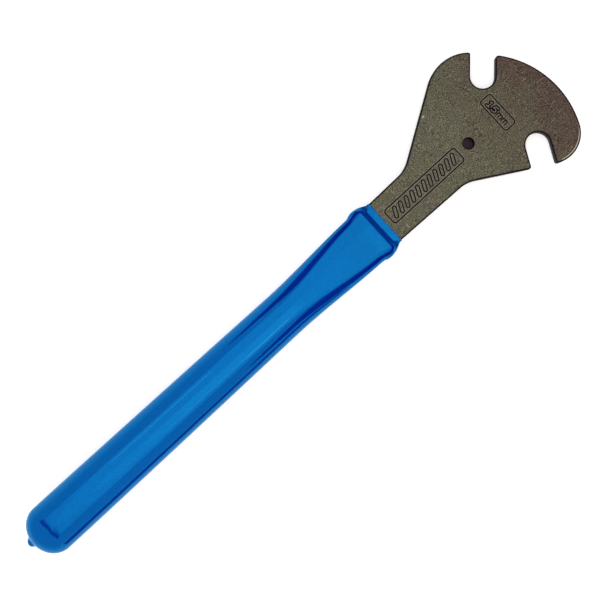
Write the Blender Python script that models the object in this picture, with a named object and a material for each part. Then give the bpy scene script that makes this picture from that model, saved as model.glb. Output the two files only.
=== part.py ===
# Pedal wrench: a flat steel head with two open jaws, its tang crimped into the mouth of a
# round steel tube, a domed plug in the tube's far end, and a dipped vinyl grip over it all.
#
# The pieces are drawn in the wrench's own frame: X runs along the handle towards the head and
# is zero at the tube's mouth, Y runs across the head, and Z points out of its marked face.
# At the end the whole wrench is laid down as it comes to rest, on the belly of its grip and
# the nose of its head, with the origin under the middle of its box.

import math

import bmesh
import bpy
import numpy as np

# Clearance between pieces that touch
FIT_GAP = 0.0003

# Head plate
PLATE_THICKNESS = 0.0060
EDGE_BREAK = 0.0008
NECK_WIDTH = 0.0288
NECK_TAPER = math.radians(1.2)
TANG_LENGTH = 0.0450
TANG_CORNER = 0.0030

# The rim of the head is an arc about the head centre, which lies below the handle's axis
HEAD_DISTANCE = 0.0777
HEAD_DROP = 0.0103
RIM_RADIUS = 0.0600
CHIN_RADIUS = 0.0184
CHIN_ANGLE = math.radians(-24.7)
HORN_RADIUS = 0.0259
HORN_OFFSET = (0.0173, 0.0320)
UPPER_FLANK_ANGLE = math.radians(32.2)
LOWER_FLANK_ANGLE = math.radians(30.7)
LOWER_FLANK_SETBACK = 0.0189
FLANK_FILLET = 0.0200

# Jaws: the seat is the centre of a jaw's round bottom, set back from the rim
JAW_SIZE = 0.0150
JAW_CLEARANCE = 0.00015
FRONT_JAW_SETBACK = 0.0129
FRONT_JAW_BEARING = math.radians(48.8)
FRONT_JAW_ANGLE = math.radians(47.0)
REAR_JAW_SETBACK = 0.0273
REAR_JAW_BEARING = math.radians(-32.4)
REAR_JAW_ANGLE = math.radians(-116.5)
HORN_TIP_RADIUS = 0.0012
FRONT_CORNER_RADIUS = 0.0020
HOOK_TIP_RADIUS = 0.0012
REAR_CORNER_RADIUS = 0.0015

# Hang hole
HOLE_DIAMETER = 0.0070
HOLE_BREAK = 0.0004
HOLE_SETBACK = 0.0028
HOLE_HEIGHT = 0.0010

# Handle tube, round at first and pressed flat on the tang towards its mouth
TUBE_DIAMETER = 0.0254
TUBE_WALL = 0.0016
TUBE_LENGTH = 0.2658
CRIMP_START = 0.0760
CRIMP_END = 0.0060
CRIMP_WIDTH = 0.0306
MOUTH_FLARE = 0.00135
MOUTH_CORNER = 0.0046

# Plug in the tube's far end
PLUG_DOME = 0.0104
SPIGOT_LENGTH = 0.0180
SPIGOT_WALL = 0.0016
SPIGOT_BREAK = 0.0005

# Vinyl grip: its thickness at the far end, the waist, the mouth and the lip on the neck
GRIP_END_COAT = 0.0031
GRIP_WAIST_COAT = 0.00145
GRIP_MOUTH_COAT = 0.0011
GRIP_LIP_COAT = 0.0004
GRIP_LIP_LENGTH = 0.0064
GRIP_RIDGE_LENGTH = 0.0026
GRIP_SHOULDER_LENGTH = 0.0050
COAT_EXPONENT = 1.25
NUB_RADIUS = 0.0032
NUB_LENGTH = 0.0028
NUB_OFFSET = 0.0012

# Facets
ARC_TOLERANCE = 0.00003
QUARTER_POINTS = 10
HOLE_POINTS = 32
DOME_RINGS = 8
NUB_RINGS = 3
TAPER_RINGS = 5
CRIMP_RINGS = 11
MOUTH_RINGS = 4
LIP_RINGS = 7


def smooth(value, start, end):
    """Runs from 0 at start to 1 at end, and is level at both ends."""
    share = min(max((value - start) / (end - start), 0.0), 1.0)
    return share * share * (3.0 - 2.0 * share)


def blend(first, last, share):
    return first + (last - first) * share


def direction(angle):
    return np.array((math.cos(angle), math.sin(angle)))


# Outline of the head: straight and round sides, walked with the steel on the left


class Line:
    """A straight side through a point, walked at an angle."""

    def __init__(self, point, angle):
        self.point = np.array(point, float)
        self.angle = angle
        self.along = direction(angle)
        self.outward = direction(angle - math.pi / 2)

    def moved(self, distance):
        return Line(self.point + self.outward * distance, self.angle)

    def foot(self, point):
        return self.point + self.along * np.dot(point - self.point, self.along)


class Circle:
    """A round side that bulges outwards."""

    def __init__(self, centre, radius):
        self.centre = np.array(centre, float)
        self.radius = radius

    def moved(self, distance):
        return Circle(self.centre, self.radius + distance)

    def foot(self, point):
        ray = point - self.centre
        return self.centre + ray * (self.radius / np.linalg.norm(ray))


def line_crossing(first, second):
    normals = np.array((first.outward, second.outward))
    levels = (np.dot(first.outward, first.point), np.dot(second.outward, second.point))
    return np.linalg.solve(normals, levels)


def circle_crossing(line, circle, near):
    """The point on a line and a circle that lies on the side of near."""
    middle = line.foot(circle.centre)
    half_chord = math.sqrt(circle.radius**2 - np.sum((middle - circle.centre) ** 2))
    side = np.sign(np.dot(near - middle, line.along))
    return middle + line.along * half_chord * side


def arc(centre, start, end, turn=1):
    """Points from start to end about centre: counter-clockwise, or clockwise if turn is -1."""
    from_angle = math.atan2(start[1] - centre[1], start[0] - centre[0])
    to_angle = math.atan2(end[1] - centre[1], end[0] - centre[0])
    sweep = (turn * (to_angle - from_angle)) % (2 * math.pi)
    radius = np.linalg.norm(start - centre)
    step = 2 * math.acos(1 - ARC_TOLERANCE / radius)
    count = max(2, math.ceil(sweep / step))
    angles = from_angle + turn * sweep * np.arange(count + 1) / count
    return centre + radius * np.column_stack((np.cos(angles), np.sin(angles)))


def hollow_corner(before, after, radius):
    """Fillet in the hollow corner between two lines."""
    centre = line_crossing(before.moved(radius), after.moved(radius))
    return arc(centre, before.foot(centre), after.foot(centre), turn=-1)


def line_corner(before, after, radius):
    """Rounding of the outer corner between two lines."""
    centre = line_crossing(before.moved(-radius), after.moved(-radius))
    return arc(centre, before.foot(centre), after.foot(centre))


def tip_corner(wall, rim, radius, near):
    """Rounding from a jaw's wall to the round side that it runs out to."""
    centre = circle_crossing(wall.moved(-radius), rim.moved(-radius), near)
    return arc(centre, wall.foot(centre), rim.foot(centre))


def rim_corner(rim, wall, radius, near):
    """Rounding from a round side to the jaw's wall that runs in from it."""
    centre = circle_crossing(wall.moved(-radius), rim.moved(-radius), near)
    return arc(centre, rim.foot(centre), wall.foot(centre))


class Jaw:
    """An open slot with parallel walls and a round bottom about its seat."""

    def __init__(self, setback, bearing, angle):
        self.seat = head_centre() + (RIM_RADIUS - setback) * direction(bearing)
        half = (JAW_SIZE + JAW_CLEARANCE) / 2
        across = half * direction(angle - math.pi / 2)
        self.way_in = Line(self.seat + across, angle + math.pi)
        self.way_out = Line(self.seat - across, angle)
        self.bottom = arc(self.seat, self.seat + across, self.seat - across, turn=-1)
        self.mouth = self.seat + RIM_RADIUS * direction(angle)


def head_centre():
    return np.array((HEAD_DISTANCE, -HEAD_DROP))


def front_jaw():
    return Jaw(FRONT_JAW_SETBACK, FRONT_JAW_BEARING, FRONT_JAW_ANGLE)


def rear_jaw():
    return Jaw(REAR_JAW_SETBACK, REAR_JAW_BEARING, REAR_JAW_ANGLE)


def hole_centre():
    return HEAD_DISTANCE - HOLE_SETBACK, HOLE_HEIGHT


def neck_half_width(x):
    return NECK_WIDTH / 2 + x * math.tan(NECK_TAPER)


def tang_half_width():
    """The tang fits between the crimp's rounded sides and in the round bore behind it."""
    in_crimp = CRIMP_WIDTH / 2 - crimp_half_height()
    in_bore = math.sqrt((TUBE_DIAMETER / 2 - TUBE_WALL) ** 2 - (PLATE_THICKNESS / 2) ** 2)
    return min(in_crimp, in_bore - FIT_GAP)


def tang_side(side):
    """Half of the tang's end and its shoulder, from the end to the neck."""
    half = tang_half_width()
    shoulder = FIT_GAP
    return [
        (-TANG_LENGTH, side * (half - TANG_CORNER)),
        (TANG_CORNER - TANG_LENGTH, side * half),
        (shoulder, side * half),
        (shoulder, side * neck_half_width(shoulder)),
    ]


def head_outline():
    """The plate's outline, counter-clockwise from the end of its tang."""
    rim = Circle(head_centre(), RIM_RADIUS)
    chin_reach = RIM_RADIUS - CHIN_RADIUS
    chin = Circle(head_centre() + chin_reach * direction(CHIN_ANGLE), CHIN_RADIUS)
    rim_start = head_centre() + RIM_RADIUS * direction(CHIN_ANGLE)
    horn = Circle(head_centre() + np.array(HORN_OFFSET), HORN_RADIUS)
    horn_end = horn.centre + HORN_RADIUS * direction(UPPER_FLANK_ANGLE + math.pi / 2)
    flank_x = HEAD_DISTANCE - LOWER_FLANK_SETBACK

    lower_neck = Line((0, -NECK_WIDTH / 2), -NECK_TAPER)
    lower_flank = Line((flank_x, -neck_half_width(flank_x)), -LOWER_FLANK_ANGLE)
    upper_flank = Line(horn_end, math.pi + UPPER_FLANK_ANGLE)
    upper_neck = Line((0, NECK_WIDTH / 2), math.pi + NECK_TAPER)
    front = front_jaw()
    rear = rear_jaw()

    hook_tip = tip_corner(rear.way_out, chin, HOOK_TIP_RADIUS, rear.mouth)
    front_corner = rim_corner(rim, front.way_in, FRONT_CORNER_RADIUS, front.mouth)
    horn_tip = tip_corner(front.way_out, horn, HORN_TIP_RADIUS, front.mouth)
    return np.vstack((
        tang_side(-1),
        hollow_corner(lower_neck, lower_flank, FLANK_FILLET),
        line_corner(lower_flank, rear.way_in, REAR_CORNER_RADIUS),
        rear.bottom,
        hook_tip,
        arc(chin.centre, hook_tip[-1], rim_start)[1:],
        arc(rim.centre, rim_start, front_corner[0])[1:-1],
        front_corner,
        front.bottom,
        horn_tip,
        arc(horn.centre, horn_tip[-1], horn_end)[1:],
        hollow_corner(upper_flank, upper_neck, FLANK_FILLET),
        tang_side(1)[::-1],
    ))


# Cross-sections of the handle, all of one family of rounded rectangles


def section(half_width, half_height, radius):
    """Rounded rectangle as (y, z) points, counter-clockwise seen from the head."""
    turns = (np.arange(QUARTER_POINTS) + 0.5) * (math.pi / 2 / QUARTER_POINTS)
    angles = np.concatenate([turns + quarter * math.pi / 2 for quarter in range(4)])
    ways = np.column_stack((np.cos(angles), np.sin(angles)))
    corner = np.array((half_width - radius, half_height - radius))
    return np.sign(ways) * corner + ways * radius


def ring(x, outline, setback=0.0):
    """Points of one section at x, each moved back from the mouth by its setback."""
    return np.column_stack((x - setback * np.ones(len(outline)), outline))


def crimp_half_height():
    return PLATE_THICKNESS / 2 + FIT_GAP + TUBE_WALL


def tube_size(x):
    """Half width and half height of the tube's outside."""
    radius = TUBE_DIAMETER / 2
    flat = smooth(x, -CRIMP_START, -CRIMP_END)
    flare = MOUTH_FLARE * smooth(x, -corner_zone(), 0)
    half_width = blend(radius, CRIMP_WIDTH / 2, flat) + flare
    return half_width, blend(radius, crimp_half_height(), flat)


def corner_zone():
    """Length behind the mouth over which its round corners in plan fade out."""
    return 2.5 * MOUTH_CORNER


def corner_setback(outline, half_width):
    """How far the mouth's round corners lie behind its front, for each point of a section."""
    beyond = np.clip(np.abs(outline[:, 0]) - half_width + MOUTH_CORNER, 0, MOUTH_CORNER)
    return MOUTH_CORNER - np.sqrt(MOUTH_CORNER**2 - beyond**2)


def tube_ring(x, offset, front=0.0):
    """Ring of the tube's surface at x, moved outwards by an offset and forwards by front."""
    half_width, half_height = tube_size(x)
    outline = section(half_width + offset, half_height + offset,
                      min(half_width, half_height) + offset)
    setback = corner_setback(outline, half_width + offset) * smooth(x, -corner_zone(), 0)
    return ring(x + front, outline, setback)


def crimp_stations():
    """Places of the rings along the crimped end, closer together at the mouth."""
    bend = np.linspace(-CRIMP_START, -corner_zone(), CRIMP_RINGS)
    mouth = np.linspace(-corner_zone(), 0, MOUTH_RINGS + 1)[1:]
    return np.concatenate((bend, mouth))


def dome_rings(base, depth, radius, tip_radius):
    """Half an ellipsoid that closes a round end at -X, from its tip to its base."""
    steepest = math.acos(tip_radius / radius)
    angles = steepest * (1 - np.arange(DOME_RINGS) / DOME_RINGS)
    rings = []
    for angle in angles:
        size = radius * math.cos(angle)
        rings.append(ring(base - depth * math.sin(angle), section(size, size, size)))
    return rings


# Vinyl grip


def coat(x):
    """Thickness of the vinyl, which gathers towards the end that hung lowest in the dip."""
    straight = TUBE_LENGTH - CRIMP_START
    if x > -CRIMP_START:
        return blend(GRIP_MOUTH_COAT, GRIP_WAIST_COAT, -x / CRIMP_START)
    share = min((-x - CRIMP_START) / straight, 1.0)
    return blend(GRIP_END_COAT, GRIP_WAIST_COAT, (1 - share) ** COAT_EXPONENT)


def lip_ring(x, offset, share):
    """Ring round the neck; share runs from 1 at the tube's mouth to 0 at the lip's edge."""
    outline = section(neck_half_width(x) + offset, PLATE_THICKNESS / 2 + offset,
                      EDGE_BREAK + offset)
    setback = corner_setback(outline, CRIMP_WIDTH / 2 + MOUTH_FLARE)
    return ring(x, outline, setback * share)


def ridge_ring(x):
    """Ring of the grip's outside where it steps down from the tube's mouth to the neck."""
    mouth_offset = FIT_GAP + GRIP_MOUTH_COAT
    lip_offset = FIT_GAP + GRIP_LIP_COAT
    mouth_width, mouth_height = (size + mouth_offset for size in tube_size(0))
    down = smooth(x, 0, GRIP_RIDGE_LENGTH)
    inward = smooth(x, 0, GRIP_SHOULDER_LENGTH)
    half_height = blend(mouth_height, PLATE_THICKNESS / 2 + lip_offset, down)
    half_width = blend(mouth_width, neck_half_width(x) + lip_offset, inward)
    radius = min(blend(mouth_height, EDGE_BREAK + lip_offset, inward), half_height)
    outline = section(half_width, half_height, radius)
    return ring(x, outline, corner_setback(outline, mouth_width) * (1 - inward))


def nub_rings(base, depth, radius):
    """The drip that hardened on the grip's end, from its tip to the dome it sits on."""
    centre = np.array((NUB_OFFSET, 0.0))
    foot = section(NUB_RADIUS, NUB_RADIUS, NUB_RADIUS) + centre
    reach = np.sum((foot / radius) ** 2, axis=1)
    foot_x = base - depth * np.sqrt(1 - reach)
    tip_x = base - depth - NUB_LENGTH
    rings = []
    for share in np.arange(1, NUB_RINGS + 1) / (NUB_RINGS + 1):
        x = blend(tip_x, foot_x, share)
        outline = blend(centre, foot, share)
        rings.append(np.column_stack((x, outline)))
    rings.append(np.column_stack((foot_x, foot)))
    return (tip_x, *centre), rings


def grip_rings():
    base = -TUBE_LENGTH - FIT_GAP
    plug_radius = TUBE_DIAMETER / 2
    offset = FIT_GAP + GRIP_END_COAT
    tip, rings = nub_rings(base, PLUG_DOME + offset, plug_radius + offset)
    rings += dome_rings(base, PLUG_DOME + offset, plug_radius + offset,
                        NUB_RADIUS + 2 * NUB_OFFSET)
    straight = np.linspace(base, -CRIMP_START, TAPER_RINGS, endpoint=False)
    for x in (*straight, *crimp_stations()):
        rings.append(tube_ring(x, FIT_GAP + coat(x)))
    for x in np.linspace(0, GRIP_LIP_LENGTH, LIP_RINGS + 1)[1:]:
        rings.append(ridge_ring(x))

    rings.append(lip_ring(GRIP_LIP_LENGTH, FIT_GAP, 0.0))
    rings.append(lip_ring(FIT_GAP, FIT_GAP, 1.0))
    for x in crimp_stations()[::-1]:
        rings.append(tube_ring(x, FIT_GAP, front=FIT_GAP * smooth(x, -corner_zone(), 0)))
    inner = dome_rings(base, PLUG_DOME + FIT_GAP, plug_radius + FIT_GAP, NUB_RADIUS)
    rings.append(tube_ring(base, FIT_GAP))
    rings += inner[::-1]
    end = (base - PLUG_DOME - FIT_GAP, 0.0, 0.0)
    return tip, rings, end


def tube_rings():
    stations = (-TUBE_LENGTH, *crimp_stations())
    outside = [tube_ring(x, 0.0) for x in stations]
    inside = [tube_ring(x, -TUBE_WALL) for x in stations]
    return outside + inside[::-1]


def plug_rings():
    base = -TUBE_LENGTH - FIT_GAP
    radius = TUBE_DIAMETER / 2
    spigot = radius - TUBE_WALL - FIT_GAP
    bore = spigot - SPIGOT_WALL
    end = SPIGOT_LENGTH - TUBE_LENGTH
    rings = dome_rings(base, PLUG_DOME, radius, NUB_RADIUS)
    turned = (
        (base, radius),
        (base, spigot),
        (end - SPIGOT_BREAK, spigot),
        (end, spigot - SPIGOT_BREAK),
        (end, bore),
        (base, bore),
    )
    rings += [ring(x, section(size, size, size)) for x, size in turned]
    return (base - PLUG_DOME, 0.0, 0.0), rings, (base, 0.0, 0.0)


# Blender objects


def new_material(name, colour, roughness, metallic):
    material = bpy.data.materials.new(name)
    material.use_nodes = True
    shader = material.node_tree.nodes["Principled BSDF"]
    shader.inputs["Base Color"].default_value = (*colour, 1.0)
    shader.inputs["Roughness"].default_value = roughness
    shader.inputs["Metallic"].default_value = metallic
    return material


def new_object(name, mesh, parent, material=None):
    piece = bpy.data.objects.new(name, mesh)
    bpy.context.scene.collection.objects.link(piece)
    piece.parent = parent
    if material:
        mesh.materials.append(material)
    return piece


def loft(name, rings, parent, material, first=None, last=None):
    """Skin over a run of rings, closed by a point at each end or joined end to end."""
    bm = bmesh.new()
    loops = [[bm.verts.new(point) for point in points] for points in rings]
    pairs = list(zip(loops, loops[1:]))
    if first is None:
        pairs.append((loops[-1], loops[0]))
    for rear, front in pairs:
        for a, b, c, d in zip(rear, rear[1:] + rear[:1], front[1:] + front[:1], front):
            bm.faces.new((a, b, c, d))
    if first is not None:
        close_end(bm, loops[0][::-1], first)
        close_end(bm, loops[-1], last)
    mesh = bpy.data.meshes.new(name)
    bm.to_mesh(mesh)
    bm.free()
    mesh.shade_smooth()
    mesh.set_sharp_from_angle(angle=math.radians(35))
    return new_object(name, mesh, parent, material)


def close_end(bm, loop, point):
    pole = bm.verts.new(point)
    for a, b in zip(loop, loop[1:] + loop[:1]):
        bm.faces.new((a, b, pole))


def hole_cutter(parent):
    """Drill for the hang hole that also breaks its edge on both faces."""
    radius = HOLE_DIAMETER / 2
    face = PLATE_THICKNESS / 2
    levels = (
        (-face - HOLE_BREAK, radius + 2 * HOLE_BREAK),
        (-face + HOLE_BREAK, radius),
        (face - HOLE_BREAK, radius),
        (face + HOLE_BREAK, radius + 2 * HOLE_BREAK),
    )
    angles = 2 * math.pi * np.arange(HOLE_POINTS) / HOLE_POINTS
    centre_x, centre_y = hole_centre()
    bm = bmesh.new()
    loops = []
    for z, size in levels:
        loops.append([
            bm.verts.new((centre_x + size * math.cos(a), centre_y + size * math.sin(a), z))
            for a in angles
        ])
    for low, high in zip(loops, loops[1:]):
        for a, b, c, d in zip(low, low[1:] + low[:1], high[1:] + high[:1], high):
            bm.faces.new((a, b, c, d))
    bm.faces.new(loops[0][::-1])
    bm.faces.new(loops[-1])
    mesh = bpy.data.meshes.new("hang_hole_cutter")
    bm.to_mesh(mesh)
    bm.free()
    cutter = new_object("hang_hole_cutter", mesh, parent)
    cutter.hide_render = True
    cutter.display_type = "WIRE"
    return cutter


def make_head_plate(parent, material):
    bm = bmesh.new()
    face = PLATE_THICKNESS / 2
    corners = [bm.verts.new((x, y, -face)) for x, y in head_outline()]
    sheet = bm.faces.new(corners)
    walls = bmesh.ops.extrude_face_region(bm, geom=[sheet])["geom"]
    raised = [item for item in walls if isinstance(item, bmesh.types.BMVert)]
    bmesh.ops.translate(bm, verts=raised, vec=(0, 0, PLATE_THICKNESS))
    bmesh.ops.recalc_face_normals(bm, faces=bm.faces)
    level = [edge for edge in bm.edges if abs(edge.verts[0].co.z - edge.verts[1].co.z) < face]
    bmesh.ops.bevel(bm, geom=level, offset=EDGE_BREAK, offset_type="OFFSET", segments=2,
                    profile=0.5, affect="EDGES", clamp_overlap=False)
    mesh = bpy.data.meshes.new("head_plate")
    bm.to_mesh(mesh)
    bm.free()
    mesh.shade_smooth()
    mesh.set_sharp_from_angle(angle=math.radians(30))
    plate = new_object("head_plate", mesh, parent, material)
    drill = plate.modifiers.new("hang_hole", "BOOLEAN")
    drill.operation = "DIFFERENCE"
    drill.solver = "EXACT"
    drill.object = hole_cutter(parent)
    return plate


def surface_points(piece):
    """The piece's vertices with its modifiers, in the wrench's own frame."""
    finished = piece.evaluated_get(bpy.context.evaluated_depsgraph_get())
    mesh = finished.to_mesh()
    points = np.empty(len(mesh.vertices) * 3, np.float32)
    mesh.vertices.foreach_get("co", points)
    finished.to_mesh_clear()
    return points.reshape(-1, 3).astype(float)


def lying_angle(head, grip):
    """Tilt at which a flat surface touches the grip's belly and the underside of the nose."""
    underside = head[head[:, 2] < EDGE_BREAK / 100 - PLATE_THICKNESS / 2]
    nose = underside[underside[:, 0].argmax()]
    slopes = (nose[2] - grip[:, 2]) / (nose[0] - grip[:, 0])
    return math.atan(slopes.max())


def lay_down(axis, head, grip):
    """Tilts the wrench onto its nose and centres its box over the origin."""
    head_points = surface_points(head)
    grip_points = surface_points(grip)
    angle = lying_angle(head_points, grip_points)
    points = np.vstack((head_points, grip_points))
    x = points[:, 0] * math.cos(angle) + points[:, 2] * math.sin(angle)
    z = points[:, 2] * math.cos(angle) - points[:, 0] * math.sin(angle)
    y = points[:, 1]
    axis.rotation_euler = (0, angle, 0)
    axis.location = (-(x.min() + x.max()) / 2, -(y.min() + y.max()) / 2, -z.min())


def clear_scene():
    for item in list(bpy.data.objects):
        bpy.data.objects.remove(item, do_unlink=True)


def main():
    clear_scene()
    axis = new_object("wrench_axis", None, None)
    steel = new_material("oiled_black_steel", (0.112, 0.103, 0.075), 0.55, 0.35)
    bare_steel = new_material("bare_steel", (0.45, 0.45, 0.44), 0.40, 1.0)
    plastic = new_material("black_plastic", (0.02, 0.02, 0.02), 0.50, 0.0)
    vinyl = new_material("blue_vinyl", (0.004, 0.135, 0.45), 0.22, 0.0)

    head = make_head_plate(axis, steel)
    loft("handle_tube", tube_rings(), axis, bare_steel)
    tip, rings, end = plug_rings()
    loft("end_plug", rings, axis, plastic, tip, end)
    tip, rings, end = grip_rings()
    grip = loft("grip", rings, axis, vinyl, tip, end)
    lay_down(axis, head, grip)


main()
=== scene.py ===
import math

import bpy
import numpy as np
from mathutils import Matrix
from mathutils.geometry import delaunay_2d_cdt


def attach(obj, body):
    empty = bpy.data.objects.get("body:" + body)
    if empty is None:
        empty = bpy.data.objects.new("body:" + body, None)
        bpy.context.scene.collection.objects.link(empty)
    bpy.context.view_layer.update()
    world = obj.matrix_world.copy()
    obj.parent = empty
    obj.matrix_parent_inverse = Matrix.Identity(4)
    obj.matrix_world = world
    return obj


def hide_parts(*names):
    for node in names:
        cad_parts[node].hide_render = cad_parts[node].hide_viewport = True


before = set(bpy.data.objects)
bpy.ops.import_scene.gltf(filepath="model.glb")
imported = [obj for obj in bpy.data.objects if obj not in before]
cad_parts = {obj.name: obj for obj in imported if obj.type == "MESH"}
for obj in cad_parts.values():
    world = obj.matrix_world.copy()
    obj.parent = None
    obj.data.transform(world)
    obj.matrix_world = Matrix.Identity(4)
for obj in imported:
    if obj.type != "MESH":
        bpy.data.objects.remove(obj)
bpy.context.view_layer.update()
print("frame loaded")

# The wrench is drawn in its own frame: X runs along the handle towards the head and is zero
# at the tube's mouth, Y runs across the head, Z points out of the marked face. It lies tilted
# on the nose of its head and the belly of its grip. Places in the materials, and those of
# the floor's shade and flag, are in the scene's own X, Y and Z.
lying = {
    "tilt": math.radians(3.1025016),
    "place": (0.0723342, -0.0007664, 0.0104049),
}


def laidMatrix():
    return Matrix.Translation(lying["place"]) @ Matrix.Rotation(lying["tilt"], 4, "Y")


def laidPoints(points):
    # turned about Y by the tilt, then moved to the wrench's place
    return points @ np.array(laidMatrix().to_3x3()).T + np.array(lying["place"])


def addObject(name, data):
    made = bpy.data.objects.new(name, data)
    bpy.context.scene.collection.objects.link(made)
    return made


# Camera: straight above the marked face, where the photograph was taken from
view = {
    "aim": (-0.0630, 0.0),  # point of the wrench at the picture's middle
    "height": 0.658,  # above the middle of the plate's thickness
    "halfFrame": 0.18072,  # half of the picture's width, at that level
    "turn": math.radians(-42.485),  # from the wrench's X to the picture's right
    "sensor": 36.0,  # its width in millimetres
    "nearest": 0.01,  # nothing closer than this is seen
}


def makeCamera():
    # the lens is to half the sensor as the height is to half the frame
    camera = bpy.data.cameras.new("camera")
    camera.sensor_width = view["sensor"]
    camera.lens = view["sensor"] / 2 * view["height"] / view["halfFrame"]
    camera.clip_start = view["nearest"]
    holder = addObject("camera", camera)
    aim = Matrix.Translation((*view["aim"], view["height"]))
    holder.matrix_world = laidMatrix() @ aim @ Matrix.Rotation(view["turn"], 4, "Z")
    bpy.context.scene.camera = holder


makeCamera()
print("camera set")


# Shader maths: a wire is a socket's value, and sums on wires add Math nodes
class Wire:
    def __init__(self, sheet, socket):
        self.sheet = sheet
        self.socket = socket

    def maths(self, operation, first, second):
        return self.sheet.node("ShaderNodeMath", {"operation": operation}, {0: first, 1: second})

    def __add__(self, other):
        return self.maths("ADD", self, other)

    def __sub__(self, other):
        return self.maths("SUBTRACT", self, other)

    def __rsub__(self, other):
        return self.maths("SUBTRACT", other, self)

    def __mul__(self, other):
        return self.maths("MULTIPLY", self, other)

    def __pow__(self, other):
        return self.maths("POWER", self, other)

    __radd__ = __add__
    __rmul__ = __mul__


class Sheet:
    # the node sheet of one material, or of the world
    def __init__(self, owner):
        owner.use_nodes = True
        self.tree = owner.node_tree
        self.tree.nodes.clear()

    def node(self, kind, settings=None, sockets=None, output=0):
        # the node's settings come first, then a link or a value for each socket
        made = self.tree.nodes.new(kind)
        for name, value in (settings or {}).items():
            setattr(made, name, value)
        for name, value in (sockets or {}).items():
            if isinstance(value, Wire):
                self.tree.links.new(value.socket, made.inputs[name])
            else:
                made.inputs[name].default_value = value
        return Wire(self, made.outputs[output]) if made.outputs else made

    def place(self):
        return self.node("ShaderNodeTexCoord", output="Object")

    def along(self, place):
        return self.node("ShaderNodeSeparateXYZ", None, {0: place}, "X")

    def mapped(self, place, sockets, kind="POINT"):
        return self.node("ShaderNodeMapping", {"vector_type": kind}, {"Vector": place, **sockets})

    def noise(self, place, scale, detail, roughness):
        sockets = {"Vector": place, "Scale": scale, "Detail": detail, "Roughness": roughness}
        return self.node("ShaderNodeTexNoise", None, sockets, "Fac")

    def between(self, value, start, end):
        # runs from 0 at start to 1 at end, and is level at both ends
        sockets = {"Value": value, "From Min": start, "From Max": end}
        return self.node("ShaderNodeMapRange", {"interpolation_type": "SMOOTHSTEP"}, sockets)

    def mix(self, share, first, second, kind="MIX"):
        settings = {"data_type": "RGBA", "blend_type": kind}
        return self.node("ShaderNodeMix", settings, {0: share, 6: first, 7: second}, 2)

    def shaded(self, body, level):
        # a colour times a grey of that level
        grey = self.node("ShaderNodeCombineColor", None, {0: level, 1: level, 2: level})
        return self.mix(1.0, body, grey, "MULTIPLY")

    def attribute(self, name):
        return self.node("ShaderNodeAttribute", {"attribute_name": name}, None, "Fac")

    def bump(self, height, strength, distance):
        sockets = {"Height": height, "Strength": strength, "Distance": distance}
        return self.node("ShaderNodeBump", None, sockets, "Normal")

    def principled(self, sockets):
        return self.node("ShaderNodeBsdfPrincipled", None, sockets)

    def finish(self, shader):
        self.node("ShaderNodeOutputMaterial", None, {"Surface": shader})


def newMaterial(name):
    material = bpy.data.materials.new(name)
    return material, Sheet(material)


def colour(red, green, blue):
    # a colour as a screen shows it, 0 to 255, turned to linear light by the screen's own curve
    linear = []
    for level in (red, green, blue):
        share = level / 255
        linear.append(share / 12.92 if share < 0.04045 else ((share + 0.055) / 1.055) ** 2.4)
    return (*linear, 1.0)


def spread(levels, share):
    # the first level, plus the second times the share
    return levels[0] + levels[1] * share


def newPiece(name, points, faces, material, flatFaces=None, attributes=None):
    # a mesh laid down in the wrench's place, shaded smooth apart from its flat faces; an
    # attribute has one value for each point
    mesh = bpy.data.meshes.new(name)
    mesh.from_pydata(laidPoints(points), [], faces)
    shadedSmooth = np.ones(len(mesh.polygons), bool)
    if flatFaces is not None:
        shadedSmooth[flatFaces] = False
    mesh.polygons.foreach_set("use_smooth", shadedSmooth)
    for label, values in (attributes or {}).items():
        layer = mesh.attributes.new(label, "FLOAT", "POINT")
        layer.data.foreach_set("value", np.asarray(values, np.float32))
    mesh.materials.append(material)
    mesh.update()
    mesh.validate()
    return addObject(name, mesh)


def bandFaces(rows, columns, closed=True, start=0):
    # quads between neighbouring rows of a grid whose columns run round, or from side to side
    span = np.arange(columns if closed else columns - 1)
    row = start + np.arange(rows - 1)[:, None] * columns
    here = row + span
    beside = row + (span + 1) % columns
    quads = np.stack((here, beside, beside + columns, here + columns), axis=-1)
    return quads.reshape(-1, 4)


def smooth(value, start, end):
    # runs from 0 at start to 1 at end, and is level at both ends
    share = np.clip((value - start) / (end - start), 0, 1)
    return share * share * (3 - 2 * share)


def blend(first, last, share):
    # goes evenly from first at 0 to last at 1
    return first + (last - first) * share


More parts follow.
